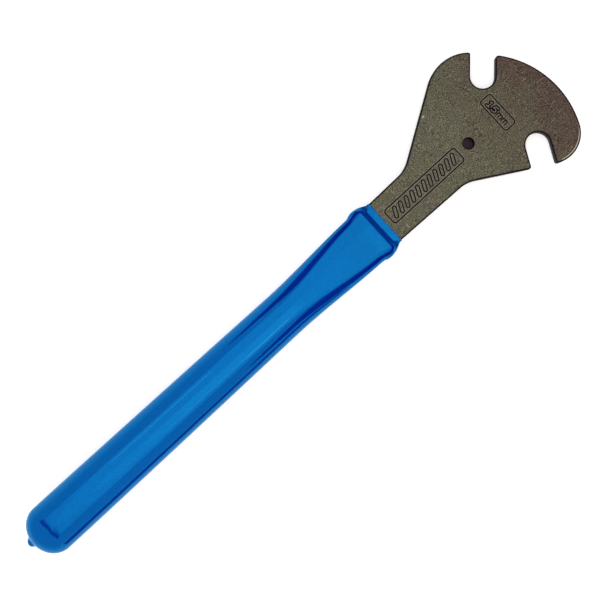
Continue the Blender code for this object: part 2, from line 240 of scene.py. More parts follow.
# Steel head
head = {
    "thickness": 0.0060,
    "edge": 0.0008,  # radius of the plate's broken edges
    "edgeSteps": 7,
    "edgeFade": 0.00035,  # how far the painted shade of the edge runs out on the face
    "edgeRows": (1.0, 0.5),  # where the face has rows of points there, as shares of that
    "neckWidth": 0.0288,
    "neckTaper": math.radians(1.2),
    "tangLength": 0.0450,
    "tangCorner": 0.0030,
    "tangHalf": 0.0104,
    "fit": 0.0003,  # gap between pieces that touch
    "centre": (0.0777, -0.0103),  # of the front's large arc
    "rim": 0.0600,  # radius of that arc
    "chin": 0.0184,  # radius of the smaller arc below it
    "chinAngle": math.radians(-24.7),  # where the one arc passes into the other
    "chinZone": ((0.0340, 0.0415), (0.1080, 0.1105)),  # where its edge has a painted highlight, in -Y and X
    "chinShift": 0.0004,  # how much further in the face's rows lie there
    "horn": 0.0259,  # radius of the horn's back
    "hornOffset": (0.0173, 0.0320),  # from the large arc's centre to the horn's
    "upperFlank": math.radians(32.2),
    "lowerFlank": math.radians(30.7),
    "flankSetback": 0.0189,  # of the lower flank's start behind the centre
    "flankFillet": 0.0200,
    # each jaw's seat lies so far behind the rim, on a bearing from the centre; then its angle
    "jawHalf": 0.007575,
    "frontSetback": 0.0129,
    "frontBearing": math.radians(48.8),
    "frontAngle": math.radians(47.0),
    "rearSetback": 0.0273,
    "rearBearing": math.radians(-32.4),
    "rearAngle": math.radians(-116.5),
    # radii of the corners at the jaws' mouths
    "hornTip": 0.0012,
    "frontCorner": 0.0020,
    "hookTip": 0.0012,
    "rearCorner": 0.0015,
    "hole": 0.0035,  # radius
    "holeBreak": 0.0004,
    "holeSteps": 5,
    "holeCentre": (0.0749, 0.0010),
    "holePoints": 64,
    "arcTolerance": 0.000004,  # how far an arc's chords may lie inside it
    "arcLeast": 3,  # fewest chords of an arc
    "weld": 1e-9,  # points nearer than this are one
}


def ray(angle):
    # unit step in the plane at that angle
    return np.array((math.cos(angle), math.sin(angle)))


def leftOf(angle):
    # unit step a quarter turn to the left of that angle
    return ray(angle + math.pi / 2)


def crossing(first, firstAngle, second, secondAngle):
    # solves first + s * ray = second + t * ray for the common point
    rays = np.column_stack((ray(firstAngle), -ray(secondAngle)))
    step = np.linalg.solve(rays, np.subtract(second, first))
    return first + step[0] * ray(firstAngle)


def arcPoints(centre, start, end, turn=1):
    # equal steps round a centre, so short that the chord stays within the tolerance
    fromAngle = math.atan2(start[1] - centre[1], start[0] - centre[0])
    toAngle = math.atan2(end[1] - centre[1], end[0] - centre[0])
    sweep = (turn * (toAngle - fromAngle)) % (2 * math.pi)
    radius = math.hypot(start[0] - centre[0], start[1] - centre[1])
    step = 2 * math.acos(1 - head["arcTolerance"] / radius)
    count = max(head["arcLeast"], math.ceil(sweep / step))
    angles = fromAngle + turn * sweep * np.arange(count + 1) / count
    return centre + radius * np.column_stack((np.cos(angles), np.sin(angles)))


def roundedCorner(before, beforeAngle, after, afterAngle, radius, turn):
    # arc that touches two straight sides; turn is 1 at an outer corner and -1 in a hollow one
    toCentre = turn * radius
    centre = crossing(before + toCentre * leftOf(beforeAngle), beforeAngle,
                      after + toCentre * leftOf(afterAngle), afterAngle)
    start = centre - toCentre * leftOf(beforeAngle)
    end = centre - toCentre * leftOf(afterAngle)
    return arcPoints(centre, start, end, turn)


def tipCorner(wall, wallAngle, centre, bigRadius, radius, near, wallFirst):
    # arc that touches a straight wall and, from inside, a round side
    moved = wall + radius * leftOf(wallAngle)
    along = ray(wallAngle)
    middle = moved + along * np.dot(centre - moved, along)
    reach = math.sqrt((bigRadius - radius) ** 2 - np.sum((middle - centre) ** 2))
    own = middle + along * reach * np.sign(np.dot(near - middle, along))
    onWall = own - radius * leftOf(wallAngle)
    onRound = centre + (own - centre) * bigRadius / (bigRadius - radius)
    return arcPoints(own, onWall, onRound) if wallFirst else arcPoints(own, onRound, onWall)


def jaw(setback, bearing, angle):
    # seat, points on both walls where they leave the round bottom, and the bottom's arc
    seat = head["centre"] + (head["rim"] - setback) * ray(bearing)
    across = head["jawHalf"] * leftOf(angle)
    bottom = arcPoints(seat, seat - across, seat + across, -1)
    return seat - across, seat + across, bottom, seat + head["rim"] * ray(angle)


def neckHalf(x):
    # half of the neck's width, which grows with X by the taper
    return head["neckWidth"] / 2 + x * math.tan(head["neckTaper"])


def tangSide(side):
    # from the tang's end over its cut corner to the shoulder and out to the neck
    half = head["tangHalf"]
    corner = head["tangCorner"]
    shoulder = head["fit"]
    return np.array((
        (-head["tangLength"], side * (half - corner)),
        (corner - head["tangLength"], side * half),
        (shoulder, side * half),
        (shoulder, side * neckHalf(shoulder)),
    ))


def headOutline():
    # counter-clockwise from the tang's end: neck, lower flank, rear jaw, hook, rim, front jaw,
    # horn, upper flank, neck
    centre = np.array(head["centre"])
    rim = head["rim"]
    chinRay = ray(head["chinAngle"])
    chinCentre = centre + (rim - head["chin"]) * chinRay
    hornCentre = centre + head["hornOffset"]
    taper = head["neckTaper"]
    upper = head["upperFlank"]
    flankX = centre[0] - head["flankSetback"]
    lowerStart = np.array((flankX, -neckHalf(flankX)))
    hornEnd = hornCentre + head["horn"] * leftOf(upper)
    frontIn, frontOut, frontBottom, frontMouth = jaw(
        head["frontSetback"], head["frontBearing"], head["frontAngle"])
    rearIn, rearOut, rearBottom, rearMouth = jaw(
        head["rearSetback"], head["rearBearing"], head["rearAngle"])

    hook = tipCorner(rearOut, head["rearAngle"], chinCentre, head["chin"], head["hookTip"],
                     rearMouth, True)
    nose = tipCorner(frontIn, head["frontAngle"] + math.pi, centre, rim, head["frontCorner"],
                     frontMouth, False)
    horn = tipCorner(frontOut, head["frontAngle"], hornCentre, head["horn"], head["hornTip"],
                     frontMouth, True)
    lowerNeck = np.array((0, -head["neckWidth"] / 2))
    upperNeck = np.array((0, head["neckWidth"] / 2))
    return np.vstack((
        tangSide(-1),
        roundedCorner(lowerNeck, -taper, lowerStart, -head["lowerFlank"],
                      head["flankFillet"], -1),
        roundedCorner(lowerStart, -head["lowerFlank"], rearIn, head["rearAngle"] + math.pi,
                      head["rearCorner"], 1),
        rearBottom,
        hook,
        arcPoints(chinCentre, hook[-1], centre + rim * chinRay)[1:],
        arcPoints(centre, centre + rim * chinRay, nose[0])[1:-1],
        nose,
        frontBottom,
        horn,
        arcPoints(hornCentre, horn[-1], hornEnd)[1:],
        roundedCorner(hornEnd, math.pi + upper, upperNeck, math.pi + taper,
                      head["flankFillet"], -1),
        tangSide(1)[::-1],
    ))


def insetWays(outline):
    # inward mitre at each point: the mean of its two sides' normals over the cosine between
    ahead = np.roll(outline, -1, axis=0) - outline
    ahead /= np.linalg.norm(ahead, axis=1)[:, None]
    normal = np.column_stack((-ahead[:, 1], ahead[:, 0]))
    mean = normal + np.roll(normal, 1, axis=0)
    return mean / (1 + np.sum(normal * np.roll(normal, 1, axis=0), axis=1))[:, None]


def insidePolygon(points, polygon):
    # counts the polygon's sides that a ray along X crosses
    x, y = points[:, 0:1], points[:, 1:2]
    ax, ay = polygon[:, 0], polygon[:, 1]
    bx, by = np.roll(ax, -1), np.roll(ay, -1)
    spans = (ay > y) != (by > y)
    slope = (bx - ax) / np.where(by == ay, 1, by - ay)
    return np.sum(spans & (x < ax + (y - ay) * slope), axis=1) % 2 == 1


def capFaces(points, loops, turn):
    # triangles of a flat face between an outer loop and the loops of its holes
    ids = np.concatenate(loops)
    flat = points[ids, :2]
    edges = []
    start = 0
    for loop in loops:
        count = len(loop)
        edges += [(start + i, start + (i + 1) % count) for i in range(count)]
        start += count
    corners = [tuple(corner) for corner in flat.tolist()]
    made = delaunay_2d_cdt(corners, edges, [], 0, head["weld"])
    places = np.array([source[0] for source in made[3]])
    triangles = places[np.array(made[2])]
    middles = flat[triangles].mean(axis=1)
    keep = insidePolygon(middles, points[loops[0], :2])
    for loop in loops[1:]:
        keep &= ~insidePolygon(middles, points[loop, :2])
    triangles = triangles[keep]
    return ids[triangles if turn > 0 else triangles[:, ::-1]]


# Stamped marks on the upper face: the jaw's size in a frame, and a plain hatched panel
marks = {
    "size": {"centre": (0.1005, 0.0029), "long": 0.0232, "wide": 0.0083,
             "turn": math.radians(-90), "line": 0.00086, "pitch": 0.00013},
    "panel": {"centre": (0.0383, 0.0002), "long": 0.0568, "wide": 0.0102,
              "turn": 0.0, "line": 0.00094, "pitch": 0.00018},
    "corner": 0.0018,  # radius of both frames' corners
    "margin": 0.0009,  # how far the fine grid reaches past a frame
    "depth": 0.00022,
    "wall": 0.00014,  # width of a stamped line's sloping walls
    "rim": 0.00036,  # width of the polished rim beside a line
    # stroke: half of its width, and the width of the line round it; square: the width and
    # height that a glyph is drawn at; starts: where each glyph begins
    "digit": {"stroke": (0.00070, 0.00095), "square": (0.0050, 0.0036),
              "starts": (-0.0083, -0.0043)},
    "unit": {"stroke": (0.0, 0.00085), "square": (0.0046, 0.0045),
             "starts": (0.0004, 0.0048)},
    "baseline": -0.0020,
    "lean": 0.10,  # how far the glyphs lean over, for each unit of height
    "bar": {"stroke": (0.00110, 0.00090), "count": 11, "pitch": 0.00468,
            "slant": math.radians(64), "half": 0.0023},
}


def glyphStrokes(glyphs, look):
    # a glyph's points times its square, leaning with height, on the baseline from its start
    strokes = []
    for glyph, start in zip(glyphs, look["starts"]):
        ends = np.array(glyph) * look["square"]
        ends[..., 0] += start + ends[..., 1] * marks["lean"]
        strokes.append(ends + np.array((0, marks["baseline"])))
    return np.concatenate(strokes)


def textStrokes():
    # centre lines of the strokes, each from one point of a unit square to another
    one = [((0.10, 0.84), (0.32, 1.0)), ((0.32, 1.0), (0.32, 0.0)), ((0.06, 0.0), (0.50, 0.0))]
    bowl = [(0.08, 0.56), (0.24, 0.65), (0.42, 0.63), (0.56, 0.50), (0.60, 0.32), (0.54, 0.14),
            (0.40, 0.02), (0.22, 0.0), (0.04, 0.09)]
    five = [((0.62, 1.0), (0.15, 1.0)), ((0.15, 1.0), (0.08, 0.56)), *zip(bowl, bowl[1:])]
    arch = [(0.0, 0.42), (0.12, 0.55), (0.26, 0.57), (0.35, 0.48), (0.37, 0.36), (0.37, 0.0)]
    second = [(x + arch[-1][0], y) for x, y in arch]
    unit = [((0.0, 0.58), (0.0, 0.0)), *zip(arch, arch[1:]), *zip(second, second[1:])]
    return glyphStrokes((one, five), marks["digit"]), glyphStrokes((unit, unit), marks["unit"])


def barStrokes():
    # slanting centre lines of one height, an even pitch apart
    bar = marks["bar"]
    places = (np.arange(bar["count"]) - (bar["count"] - 1) / 2) * bar["pitch"]
    half = bar["half"] * ray(bar["slant"]) / math.sin(bar["slant"])
    middles = np.column_stack((places, np.zeros(len(places))))
    return np.stack((middles - half, middles + half), axis=1)


def strokeDistance(x, y, strokes):
    # distance from each grid point to the nearest stroke's centre line
    nearest = np.full(x.shape, 1.0)
    for (ax, ay), (bx, by) in strokes:
        wayX, wayY = bx - ax, by - ay
        share = ((x - ax) * wayX + (y - ay) * wayY) / (wayX**2 + wayY**2)
        share = np.clip(share, 0, 1)
        nearest = np.minimum(nearest, np.hypot(x - ax - share * wayX, y - ay - share * wayY))
    return nearest


def frameDistance(x, y, mark):
    # distance from each grid point to the outline of a rectangle with round corners
    corner = marks["corner"]
    dx = np.abs(x) - mark["long"] / 2 + corner
    dy = np.abs(y) - mark["wide"] / 2 + corner
    outside = np.hypot(np.maximum(dx, 0), np.maximum(dy, 0))
    return np.abs(outside + np.minimum(np.maximum(dx, dy), 0) - corner)


def groove(distance, width):
    # 1 on the groove's floor, 0 outside, and a smooth wall between
    wall = marks["wall"]
    return 1 - smooth(distance, width / 2 - wall / 2, width / 2 + wall / 2)


def rimBeside(distance, width):
    # 1 at the groove's edge, and down to 0 over the rim's width
    return 1 - smooth(distance, width / 2, width / 2 + marks["rim"])


def markPatch(mark, strokeGroups):
    # fine grid over a mark: its height is the face's level less the grooves' depth; a groove
    # runs round every stroke, at half the stroke's width from its centre line
    halfLong = mark["long"] / 2 + marks["margin"]
    halfWide = mark["wide"] / 2 + marks["margin"]
    columns = 2 * round(halfLong / mark["pitch"]) + 1
    rows = 2 * round(halfWide / mark["pitch"]) + 1
    x, y = np.meshgrid(np.linspace(-halfLong, halfLong, columns),
                       np.linspace(-halfWide, halfWide, rows))
    framed = frameDistance(x, y, mark)
    sunk = groove(framed, mark["line"])
    rim = rimBeside(framed, mark["line"])
    for strokes, (half, line) in strokeGroups:
        beside = np.abs(strokeDistance(x, y, strokes) - half)
        sunk = np.maximum(sunk, groove(beside, line))
        rim = np.maximum(rim, rimBeside(beside, line))
    turn = mark["turn"]
    placeX = mark["centre"][0] + x * math.cos(turn) - y * math.sin(turn)
    placeY = mark["centre"][1] + x * math.sin(turn) + y * math.cos(turn)
    level = head["thickness"] / 2 - marks["depth"] * sunk
    return np.stack((placeX, placeY, level), axis=-1), sunk, rim * (1 - sunk)


def patchBorder(rows, columns):
    # the grid's outermost points, counter-clockwise
    low = np.arange(columns)
    right = np.arange(1, rows) * columns + columns - 1
    top = (rows - 1) * columns + np.arange(columns - 2, -1, -1)
    left = np.arange(rows - 2, 0, -1) * columns
    return np.concatenate((low, right, top, left))


def quarterRound(size, steps):
    # from a face to a wall: the size less its share of the sine, and of the cosine
    angles = np.linspace(0, math.pi / 2, steps)
    return size * (1 - np.sin(angles)), size * (1 - np.cos(angles))


def bothFaces(inset, drop):
    # a profile from the upper face to the wall, and mirrored down to the lower face
    face = head["thickness"] / 2
    levels = np.concatenate((face - drop, (drop - face)[::-1]))
    return np.concatenate((inset, inset[::-1])), levels


def headWall(outline):
    # the outline moved in by each row's inset, at the row's level: two rows on the face, a
    # quarter round, and the same below
    inset, drop = quarterRound(head["edge"], head["edgeSteps"])
    onFace = head["edge"] + head["edgeFade"] * np.array(head["edgeRows"])
    insets, levels = bothFaces(np.append(onFace, inset), np.append(0 * onFace, drop))
    # the chin has a painted highlight along the second row, which lies further in there
    low, front = head["chinZone"]
    chin = smooth(-outline[:, 1], *low) * smooth(outline[:, 0], *front)
    shift, chinGlintRows = np.zeros((2, len(levels), len(outline)))
    shift[:2] = head["chinShift"] * chin
    chinGlintRows[1] = chin
    wall = np.empty((*chinGlintRows.shape, 3))
    wall[..., :2] = outline + (insets[:, None] + shift)[..., None] * insetWays(outline)
    wall[..., 2] = levels[:, None]
    return wall, np.repeat(1 - insets / insets.max(), len(outline)), chinGlintRows


def holeWall():
    # rings round the hang hole, which widens by a quarter round at both faces
    count = head["holePoints"]
    angles = np.arange(count) * 2 * math.pi / count
    grow, levels = bothFaces(*quarterRound(head["holeBreak"], head["holeSteps"]))
    radii = (head["hole"] + grow)[:, None]
    wall = np.empty((len(levels), count, 3))
    wall[..., 0] = head["holeCentre"][0] + radii * np.cos(angles)
    wall[..., 1] = head["holeCentre"][1] + radii * np.sin(angles)
    wall[..., 2] = levels[:, None]
    return wall, np.repeat(1 - grow / head["holeBreak"], count)


def makeHead(material):
    # four grids of points, joined by one flat face above and one below
    wall, wallEdge, chinGlintRows = headWall(headOutline())
    hole, holeEdge = holeWall()
    digits, unit = textStrokes()
    text = [(digits, marks["digit"]["stroke"]), (unit, marks["unit"]["stroke"])]
    size, sizeSunk, sizeRim = markPatch(marks["size"], text)
    bars = [(barStrokes(), marks["bar"]["stroke"])]
    panel, panelSunk, panelRim = markPatch(marks["panel"], bars)

    grids = (wall, hole, size, panel)
    starts = np.cumsum([0] + [grid.shape[0] * grid.shape[1] for grid in grids])
    points = np.vstack([grid.reshape(-1, 3) for grid in grids])
    edge, stamp, rim, chinGlint = np.zeros((4, len(points)))
    edge[:starts[2]] = np.concatenate((wallEdge, holeEdge))
    chinGlint[:starts[1]] = chinGlintRows.ravel()
    stamp[starts[2]:] = np.concatenate((sizeSunk.ravel(), panelSunk.ravel()))
    rim[starts[2]:] = np.concatenate((sizeRim.ravel(), panelRim.ravel()))

    upper = [start + np.arange(grid.shape[1]) for start, grid in zip(starts, (wall, hole))]
    lower = [loop + (len(grid) - 1) * grid.shape[1] for loop, grid in zip(upper, (wall, hole))]
    borders = [start + patchBorder(*grid.shape[:2])
               for start, grid in zip(starts[2:], (size, panel))]
    flat = np.vstack((capFaces(points, upper + borders, 1), capFaces(points, lower, -1)))
    bands = np.vstack((
        bandFaces(*wall.shape[:2])[:, ::-1],
        bandFaces(*hole.shape[:2], start=starts[1]),
        bandFaces(*size.shape[:2], closed=False, start=starts[2]),
        bandFaces(*panel.shape[:2], closed=False, start=starts[3]),
    ))
    faces = bands.tolist() + flat.tolist()
    return newPiece("steel_head", points, faces, material, np.arange(len(bands), len(faces)),
                    {"edge": edge, "stamp": stamp, "rim": rim, "chinGlint": chinGlint})


steelLook = {
    "olive": colour(89, 87, 70),
    "pale": colour(91, 90, 73.5),
    "brown": colour(77, 62, 54),
    "green": colour(79, 91, 60),
    "plum": colour(95, 79, 81),
    # painted shade on the broken edges of the plate and the hang hole
    "edge": colour(16, 12, 13),
    "stamp": colour(6, 4, 5),
    "rim": colour(160, 150, 136),
    # painted highlight along the chin's broken edge
    "chinGlint": colour(205, 205, 182),
    "scuff": colour(150, 145, 128),
    "nick": colour(205, 203, 188),
    # scale, detail and roughness of each noise
    "grain": (900, 2, 0.6),
    "speck": (1750, 1, 0.5),
    "patch": (55, 3, 0.6),
    "greenSpots": (330, 3, 0.7),
    "plumSpots": (300, 3, 0.7),
    "streaks": (900, 2, 0.6),
    # the face browns towards the nose and pales towards the neck: how far the patches blur
    # the change, and from where to where it runs along X
    "noseBlur": 0.06,
    "noseZone": (0.184, 0.243),
    "neckBlur": 0.03,
    "neckZone": (0.182, 0.150),
    "spotRange": (0.48, 0.66),  # levels of the noise between which a spot sets in
    "plumPlace": (3.1, 1.7, 0.4),  # takes the plum spots away from the green ones
    "plumShare": 0.40,
    "greenShare": 0.44,
    "greenLoss": 0.20,  # of that share, at the nose
    # marks of sanding: long streaks, strongest near the nose
    "streakTurn": (0, 0, math.radians(6)),
    "streakStretch": (0.09, 1, 1),
    "streakRange": (0.60, 0.80),
    "streakZone": (0.16, 0.20),
    "streakShare": 0.40,
    # how strongly the grain and the specks darken or lighten the face
    "grainPower": 0.15,
    "speckPower": 4.5,
    "edgeShadeRange": (0.0, 0.30),  # share of the way from face to wall over which the edge's painted shade comes in
    "rimShare": 0.80,
    "nickRange": (1.0, 0.3),  # of its half sizes, from its rim to where a nick is full
    "nicks": ({"place": (0.1380, 0.0304, 0), "turn": (0, 0, math.radians(2)),
               "halfSizes": (0.0014, 0.00055, 1), "share": 0.75},
              {"place": (0.0871, -0.0115, 0), "turn": (0, 0, math.radians(-86)),
               "halfSizes": (0.0022, 0.00050, 1), "share": 0.30}),
    "metallic": 0.25,
    "roughness": (0.45, 0.20),  # least level, and what the patches add
    "specular": 0.12,
    "speckHeight": 0.5,
    "bump": (0.3, 0.00008),
}


def nickShare(sheet, place, nick):
    # the nick's share inside an ellipse on the face, and down to 0 at its rim
    sockets = {"Location": nick["place"], "Rotation": nick["turn"], "Scale": nick["halfSizes"]}
    moved = sheet.mapped(place, sockets, "TEXTURE")
    reach = sheet.node("ShaderNodeVectorMath", {"operation": "LENGTH"}, {0: moved}, "Value")
    return sheet.between(reach, *steelLook["nickRange"]) * nick["share"]


def steelMaterial():
    # ground colours along X, spots and streaks over them, all times the grain; then painted shade
    # on the edges, a painted highlight on the chin, the wear of the nicks and the stamps on top
    look = steelLook
    material, sheet = newMaterial("mottled_steel")
    place = sheet.place()
    along = sheet.along(place)
    grain = sheet.noise(place, *look["grain"])
    speck = sheet.noise(place, *look["speck"])
    patch = sheet.noise(place, *look["patch"])
    nose = sheet.between(along + patch * look["noseBlur"], *look["noseZone"])
    neck = sheet.between(along + patch * look["neckBlur"], *look["neckZone"])
    body = sheet.mix(neck, look["olive"], look["pale"])
    body = sheet.mix(nose, body, look["brown"])

    green = sheet.between(sheet.noise(place, *look["greenSpots"]), *look["spotRange"])
    green = green * (look["greenShare"] - look["greenLoss"] * nose)
    body = sheet.mix(green, body, look["green"])
    aside = sheet.mapped(place, {"Location": look["plumPlace"]})
    plum = sheet.between(sheet.noise(aside, *look["plumSpots"]), *look["spotRange"])
    body = sheet.mix(plum * look["plumShare"], body, look["plum"])
    stretched = sheet.mapped(place, {"Rotation": look["streakTurn"],
                                     "Scale": look["streakStretch"]})
    streak = sheet.between(sheet.noise(stretched, *look["streaks"]), *look["streakRange"])
    streak = streak * sheet.between(along, *look["streakZone"]) * look["streakShare"]
    body = sheet.mix(streak, body, look["scuff"])
    # a noise is a half on average, so each of these sums is one on average
    shade = (0.5 + grain) ** look["grainPower"] * (0.5 + speck) ** look["speckPower"]
    body = sheet.shaded(body, shade)

    # painted shade: the broken edges darken towards the walls and are less metallic
    dark = sheet.between(sheet.attribute("edge"), *look["edgeShadeRange"])
    body = sheet.mix(dark, body, look["edge"])
    # painted highlight: a light line along the chin's edge
    body = sheet.mix(sheet.attribute("chinGlint"), body, look["chinGlint"])
    for nick in look["nicks"]:
        body = sheet.mix(nickShare(sheet, place, nick), body, look["nick"])
    body = sheet.mix(sheet.attribute("rim") * look["rimShare"], body, look["rim"])
    body = sheet.mix(sheet.attribute("stamp"), body, look["stamp"])
    sheet.finish(sheet.principled({
        "Base Color": body,
        "Metallic": look["metallic"] * (1 - dark),
        "Roughness": spread(look["roughness"], patch),
        "Specular IOR Level": look["specular"],
        "Normal": sheet.bump(grain + speck * look["speckHeight"], *look["bump"]),
    }))
    return material


steel = steelMaterial()
steelHead = makeHead(steel)
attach(steelHead, "root")
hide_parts("head_plate")
print("steel head made")


# Vinyl grip: it follows the round tube, the pressed mouth and the neck in one skin
grip = {
    "tubeRadius": 0.0127,
    "tubeLength": 0.2658,
    "wall": 0.0016,
    # distance behind the mouth where the tube begins to be pressed flat, and where it is flat
    "crimpStart": 0.0760,
    "crimpEnd": 0.0060,
    "crimpWidth": 0.0306,
    "mouthFlare": 0.00135,
    "mouthCorner": 0.0046,
    "mouthZone": 0.0115,  # how far behind the mouth it flares and rounds its corners
    "plugDome": 0.0104,
    # the skin's thickness at the far end, the waist, the mouth and on the neck
    "endCoat": 0.0031,
    "waistCoat": 0.00145,
    "mouthCoat": 0.0011,
    "lipCoat": 0.00042,
    "coatExponent": 1.25,
    "lipLength": 0.0064,
    "lipRound": 0.0003,
    "lipHug": 0.00003,  # gap between the lip and the neck
    "innerNeck": 0.0022,  # how near the mouth the skin hugs the neck inside
    "ridgeStart": -0.0016,
    "ridgeEnd": 0.0025,
    "shoulderLength": 0.0050,
    # the hardened drip on the far end
    "nubRadius": 0.0048,
    "nubFlat": 0.3,  # share of the radius over which it is blunt
    "nubLength": 0.0029,
    "nubOffset": 0.0016,
    "crown": 0.27,  # how early the flats of the pressed end begin to round off
    "foldPlace": (0.0022, 0.0143),  # X and Y of the folds beside the ridge's ends, where the gloss gets painted shade
    "foldReach": (0.0008, 0.0030),
    "quarterPoints": 36,
    "domeRows": 56,
    "poleStep": 0.25,  # the first row's distance from the dome's pole, in rows
    "straightRows": 40,
    "crimpRows": 90,
    "ridgeRows": 44,
    "lipRows": 6,
    "innerNeckRows": 8,
    "innerEvery": 6,  # the inside has one row of the crimp's in so many
    "innerDomeRows": 14,
}


def section(halfWidth, halfHeight, radius, crown=0.0):
    # rounded rectangles, one per row: corner centre plus radius times a ray; with a crown the
    # corner centre slides inwards where the ray points up or down
    quarter = grip["quarterPoints"]
    turns = (np.arange(4 * quarter) + 0.5) * (math.pi / 2 / quarter)
    across, up = np.cos(turns), np.sin(turns)
    sizes = np.broadcast_arrays(*np.atleast_1d(halfWidth, halfHeight, radius))
    width, height, radius = (size[:, None] for size in sizes)
    slide = np.sign(across) * np.abs(across) ** crown
    y = slide * (width - radius) + across * radius
    z = np.sign(up) * (height - radius) + up * radius
    return y, z


def crimpHalfHeight():
    # half of the plate, the gap and the tube's wall
    return head["thickness"] / 2 + head["fit"] + grip["wall"]


def tubeSize(x):
    # half of the width and height: the round tube's radius, eased to the crimp's sizes, and
    # flaring at the mouth
    flat = smooth(x, -grip["crimpStart"], -grip["crimpEnd"])
    flare = grip["mouthFlare"] * smooth(x, -grip["mouthZone"], 0)
    return (blend(grip["tubeRadius"], grip["crimpWidth"] / 2, flat) + flare,
            blend(grip["tubeRadius"], crimpHalfHeight(), flat))


def cornerSetback(y, halfWidth):
    # how far the mouth's round corners in plan lie behind its front
    corner = grip["mouthCorner"]
    beyond = np.clip(np.abs(y) - halfWidth + corner, 0, corner)
    return corner - np.sqrt(corner**2 - beyond**2)


def coat(x):
    # the vinyl's thickness: thin from the mouth to the waist, then gathering to the far end
    straight = grip["tubeLength"] - grip["crimpStart"]
    share = np.clip((-x - grip["crimpStart"]) / straight, 0, 1)
    far = blend(grip["endCoat"], grip["waistCoat"], (1 - share) ** grip["coatExponent"])
    near = blend(grip["mouthCoat"], grip["waistCoat"], -x / grip["crimpStart"])
    return np.where(x > -grip["crimpStart"], near, far)


def tubeRows(x, offset, front=0.0, crown=0.0):
    # sections at that distance from the tube, drawn back at the mouth's corners
    halfWidth, halfHeight = tubeSize(x)
    y, z = section(halfWidth + offset, halfHeight + offset,
                   np.minimum(halfWidth, halfHeight) + offset, crown)
    fade = smooth(x, -grip["mouthZone"], 0)[:, None]
    wide = (halfWidth + offset)[:, None]
    placed = (x + front)[:, None] - cornerSetback(y, wide) * fade
    return np.stack((placed, y, z), axis=-1)


def nubShare(reach):
    # blunt stub: 1 over its middle, and down to 0 at its radius
    return 1 - smooth(reach, grip["nubFlat"] * grip["nubRadius"], grip["nubRadius"])


def domeRows(base, depth, radius, count, nub=0.0):
    # half an ellipsoid, with a hardened drip a little off its middle
    steep = np.linspace(math.pi / 2, 0, count, endpoint=False)
    steep[0] = math.pi / 2 * (1 - grip["poleStep"] / count)
    size = radius * np.cos(steep)
    y, z = section(size, size, size)
    drip = nub * nubShare(np.hypot(y - grip["nubOffset"], z))
    placed = base - depth * np.sin(steep)[:, None] - drip
    return np.stack((placed, y, z), axis=-1)


def ridgeRows(x, crown):
    # the skin steps down from the tube's mouth to the neck: its height over the ridge and its
    # width over the longer shoulder
    offset = head["fit"] + grip["mouthCoat"]
    lip = grip["lipHug"] + grip["lipCoat"]
    mouthWidth, mouthHeight = (size + offset for size in tubeSize(np.minimum(x, 0)))
    down = smooth(x, grip["ridgeStart"], grip["ridgeEnd"])
    inward = smooth(x, 0, grip["shoulderLength"])
    halfHeight = blend(mouthHeight, head["thickness"] / 2 + lip, down)
    halfWidth = blend(mouthWidth, neckHalf(x) + lip, inward)
    radius = np.minimum(blend(mouthHeight, head["edge"] + lip, inward), halfHeight)
    y, z = section(halfWidth, halfHeight, radius, crown)
    fade = smooth(x, -grip["mouthZone"], 0) * (1 - inward)
    setback = cornerSetback(y, mouthWidth[:, None]) * fade[:, None]
    return np.stack((x[:, None] - setback, y, z), axis=-1)


def neckRows(x, offset):
    # close round the neck; offset is the distance from the steel
    half = neckHalf(x) + offset
    height = head["thickness"] / 2 + offset
    y, z = section(half, height, head["edge"] + offset)
    return np.stack((np.broadcast_to(x[:, None], y.shape), y, z), axis=-1)


def foldShare(points):
    # 1 in the folds beside the ridge's ends, and down to 0 over their reach
    away = np.hypot(points[:, 0] - grip["foldPlace"][0],
                    np.abs(points[:, 1]) - grip["foldPlace"][1])
    return 1 - smooth(away, *grip["foldReach"])


def makeGrip(material):
    # outer rows from the far end's tip to the lip, then inner rows back to the far end
    fit = head["fit"]
    base = -grip["tubeLength"] - fit
    radius = grip["tubeRadius"]
    offset = fit + grip["endCoat"]
    crown = grip["crown"]
    straight = np.linspace(base, -grip["crimpStart"], grip["straightRows"], endpoint=False)
    crimp = np.linspace(-grip["crimpStart"], grip["ridgeStart"], grip["crimpRows"])
    taper = np.concatenate((straight, crimp))
    lipStart = grip["lipLength"] - grip["lipRound"]
    ridge = np.linspace(grip["ridgeStart"], lipStart, grip["ridgeRows"])[1:]
    ease = np.linspace(0, math.pi / 2, grip["lipRows"])[1:]
    lip = lipStart + grip["lipRound"] * np.sin(ease)
    outer = [
        domeRows(base, grip["plugDome"] + offset, radius + offset, grip["domeRows"],
                 grip["nubLength"]),
        tubeRows(taper, fit + coat(taper), crown=crown),
        ridgeRows(ridge, crown),
        neckRows(lip, grip["lipHug"] + grip["lipCoat"] * np.cos(ease)),
    ]
    hugged = np.linspace(lip[-1], grip["innerNeck"], grip["innerNeckRows"])[1:]
    inside = crimp[::-grip["innerEvery"]]
    inner = [
        neckRows(hugged, grip["lipHug"]),
        tubeRows(inside, fit, fit * smooth(inside, -grip["mouthZone"], 0)),
        tubeRows(np.array((base,)), fit),
        domeRows(base, grip["plugDome"] + fit, radius + fit, grip["innerDomeRows"])[::-1],
    ]
    rows = np.concatenate(outer + inner)
    columns = rows.shape[1]
    drip = grip["nubLength"] * nubShare(grip["nubOffset"])
    tip = (base - grip["plugDome"] - offset - drip, 0, 0)
    end = (base - grip["plugDome"] - fit, 0, 0)
    points = np.vstack((rows.reshape(-1, 3), tip, end))
    ring = np.arange(columns)
    beside = np.roll(ring, -1)
    last = (len(rows) - 1) * columns
    tipFan = np.column_stack((beside, ring, np.full(columns, len(points) - 2)))
    endFan = np.column_stack((last + ring, last + beside, np.full(columns, len(points) - 1)))
    faces = bandFaces(len(rows), columns).tolist() + tipFan.tolist() + endFan.tolist()
    return newPiece("vinyl_grip", points, faces, material,
                    attributes={"fold": foldShare(points)})


